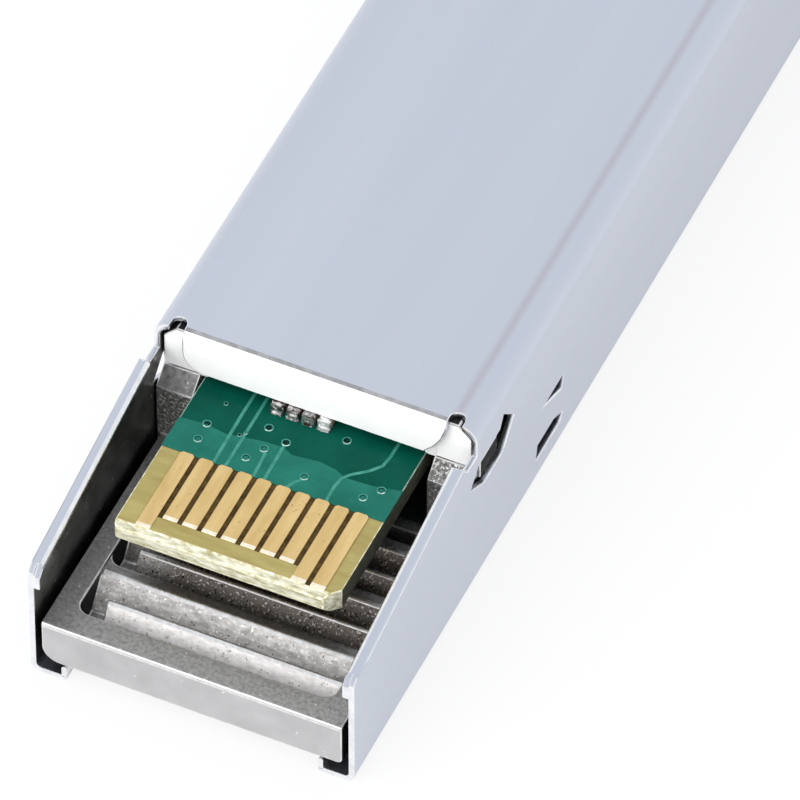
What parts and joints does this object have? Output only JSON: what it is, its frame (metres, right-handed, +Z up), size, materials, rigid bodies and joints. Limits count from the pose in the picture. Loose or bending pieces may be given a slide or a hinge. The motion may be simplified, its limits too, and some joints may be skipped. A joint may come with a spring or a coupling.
{
  "type": "small form-factor pluggable transceiver",
  "caption": "Pluggable optical transceiver with a card-edge tail in an open rear, a folded metal sleeve over a die-cast tray, fibre ports in the nose and a bail latch.",
  "frame": {"origin": "under the middle of the module, on the surface that it lies on", "axes": "+Y from the card-edge end towards the fibre ports, +Z up out of the latch side, +X to the right"},
  "size_m": [0.0138, 0.058, 0.0089],
  "materials": {
    "sleeve_metal": "satin",
    "cast_metal": "rough cast",
    "spring_steel": "satin",
    "board_laminate": "satin",
    "contact_gold": "satin",
    "chip_resin": "matte",
    "capacitor_body": "satin",
    "resistor_body": "satin",
    "bead_body": "matte",
    "can_metal": "satin",
    "barrel_metal": "satin",
    "flex_film": "satin",
    "ferrule_ceramic": "polished",
    "clamp_plastic": "matte",
    "latch_metal": "satin",
    "pin_steel": "satin",
    "bail_metal": "satin"
  },
  "bodies": {
    "module": {"shield_sleeve": "sleeve_metal", "cast_housing": "cast_metal", "shielding_collar": "spring_steel", "circuit_board": "board_laminate", "contact_fingers_upper": "contact_gold", "contact_fingers_lower": "contact_gold", "controller_chip": "chip_resin", "laser_driver_chip": "chip_resin", "receiver_amplifier_chip": "chip_resin", "memory_chip": "chip_resin", "filter_capacitors": "capacitor_body", "chip_resistors": "resistor_body", "ferrite_beads": "bead_body", "transmitter_can": "can_metal", "transmitter_barrel": "barrel_metal", "transmitter_flex": "flex_film", "receiver_can": "can_metal", "receiver_barrel": "barrel_metal", "receiver_flex": "flex_film", "ferrule_sleeves": "ferrule_ceramic", "barrel_clamp": "clamp_plastic", "latch_pin": "pin_steel", "latch_spring": "spring_steel"},
    "rocker": {"latch_rocker": "latch_metal"},
    "bail": {"bail_wire": "bail_metal", "bail_cam": "latch_metal"}
  },
  "joints": [
    {"name": "bail_swing", "type": "hinge", "parent": "module", "child": "bail", "pos_m": [0, 0.02773, 0.0073], "axis": [1, 0, 0], "range_deg": [0, 90]},
    {"name": "latch_tilt", "type": "hinge", "parent": "module", "child": "rocker", "pos_m": [0, 0.02002, 0.00775], "axis": [1, 0, 0], "range_deg": [0, 6.5], "deforming": ["latch_spring"]}
  ],
  "couplings": [
    {"joint": "latch_tilt", "follows": "bail_swing", "ratio": 0.072222}
  ]
}
